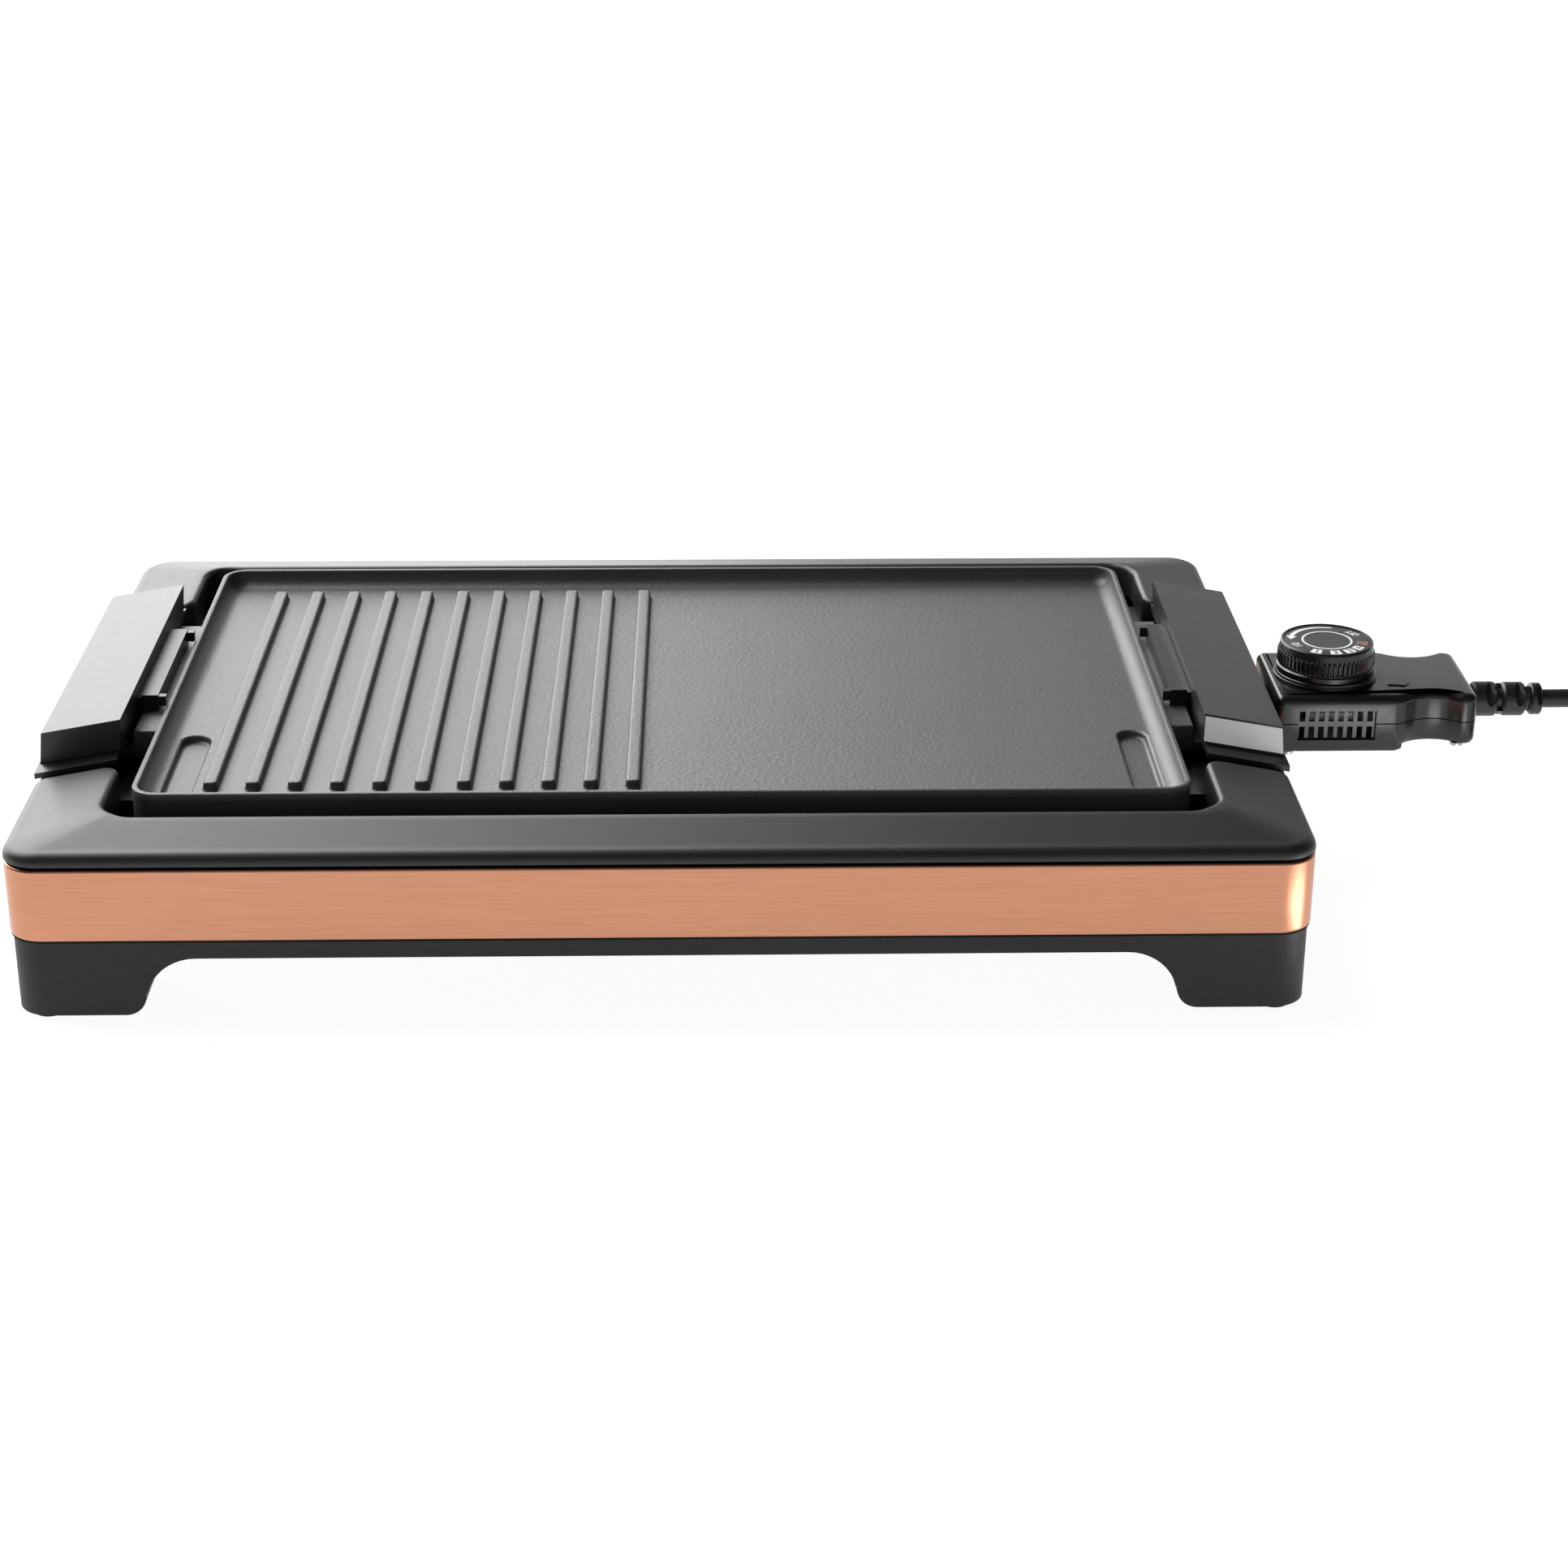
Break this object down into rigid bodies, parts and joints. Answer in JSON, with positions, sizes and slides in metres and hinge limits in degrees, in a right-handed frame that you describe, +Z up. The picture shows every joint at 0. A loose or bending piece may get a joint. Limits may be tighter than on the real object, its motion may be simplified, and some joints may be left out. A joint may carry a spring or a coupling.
{
  "type": "electric griddle",
  "caption": "Low table-top electric griddle with a lift-out ribbed cooking plate, side handles, metal band and a plug-in temperature control with a knob and mains lead.",
  "frame": {"origin": "centre of the bounding box without the mains lead, on the resting plane", "axes": "+X to the control, +Y to the back, +Z up"},
  "size_m": [0.7712, 0.325, 0.0876],
  "materials": {
    "housing_plastic": "matte moulded",
    "copper_band": "brushed, copper-coloured",
    "cover_plastic": "satin, fine grain",
    "plate_coating": "fine textured non-stick coating on cast aluminium",
    "handle_plastic": "satin",
    "control_plastic": "semi-gloss",
    "knob_plastic": "semi-gloss",
    "dial_face": "printed disc",
    "tray_metal": "plain rolled",
    "sheet_steel": "plain",
    "rail_metal": "dark coated",
    "element_metal": "heat-darkened",
    "contact_metal": "plated",
    "brass": "plain",
    "screw_steel": "zinc-plated",
    "foot_rubber": "matte",
    "cord_rubber": "matte",
    "insulator": "phenolic",
    "ceramic_white": "unglazed"
  },
  "bodies": {
    "base": {"base_housing": "housing_plastic", "trim_band": "copper_band", "top_cover": "cover_plastic", "handle_sills": "cover_plastic", "support_rail_left": "rail_metal", "support_rail_right": "rail_metal", "foot_front_left": "foot_rubber", "foot_front_right": "foot_rubber", "foot_back_left": "foot_rubber", "foot_back_right": "foot_rubber", "screw_posts": "cover_plastic", "cover_screws": "screw_steel", "drip_tray": "tray_metal"},
    "griddle_unit": {"griddle_plate": "plate_coating", "plate_underside": "plate_coating", "heating_element": "element_metal", "element_pins": "contact_metal", "bottom_shield": "sheet_steel", "shield_screws": "screw_steel", "handle_left": "handle_plastic", "handle_right": "handle_plastic", "handle_block_left": "handle_plastic", "handle_block_right": "handle_plastic", "handle_screws": "screw_steel", "socket_shroud": "handle_plastic", "earth_tab": "brass"},
    "control": {"control_bottom_shell": "control_plastic", "control_top_shell": "control_plastic", "contact_block": "insulator", "contact_sockets": "contact_metal", "probe_rod": "contact_metal", "thermostat_frame": "sheet_steel", "switch_blades": "brass", "terminal_block": "ceramic_white", "cord_clamp": "insulator", "control_screws": "screw_steel", "knob_collar": "knob_plastic", "strain_relief": "cord_rubber", "cord": "cord_rubber", "cord_coil": "cord_rubber", "coil_tie": "cord_rubber", "cord_tail": "cord_rubber", "plug_body": "cord_rubber", "plug_pins": "contact_metal", "plug_earth_clips": "contact_metal"},
    "knob": {"knob": "knob_plastic", "knob_dial": "dial_face", "knob_shaft": "screw_steel"}
  },
  "joints": [
    {"name": "plate_lift", "type": "slide", "parent": "base", "child": "griddle_unit", "axis": [0, 0, 1], "range_m": [0, 0.1]},
    {"name": "control_pull", "type": "slide", "parent": "griddle_unit", "child": "control", "axis": [1, 0, 0], "range_m": [0, 0.12]},
    {"name": "knob_turn", "type": "hinge", "parent": "control", "child": "knob", "pos_m": [0.22655, 0, 0.0725], "axis": [0, 0, 1], "range_deg": [-6, 305]}
  ]
}
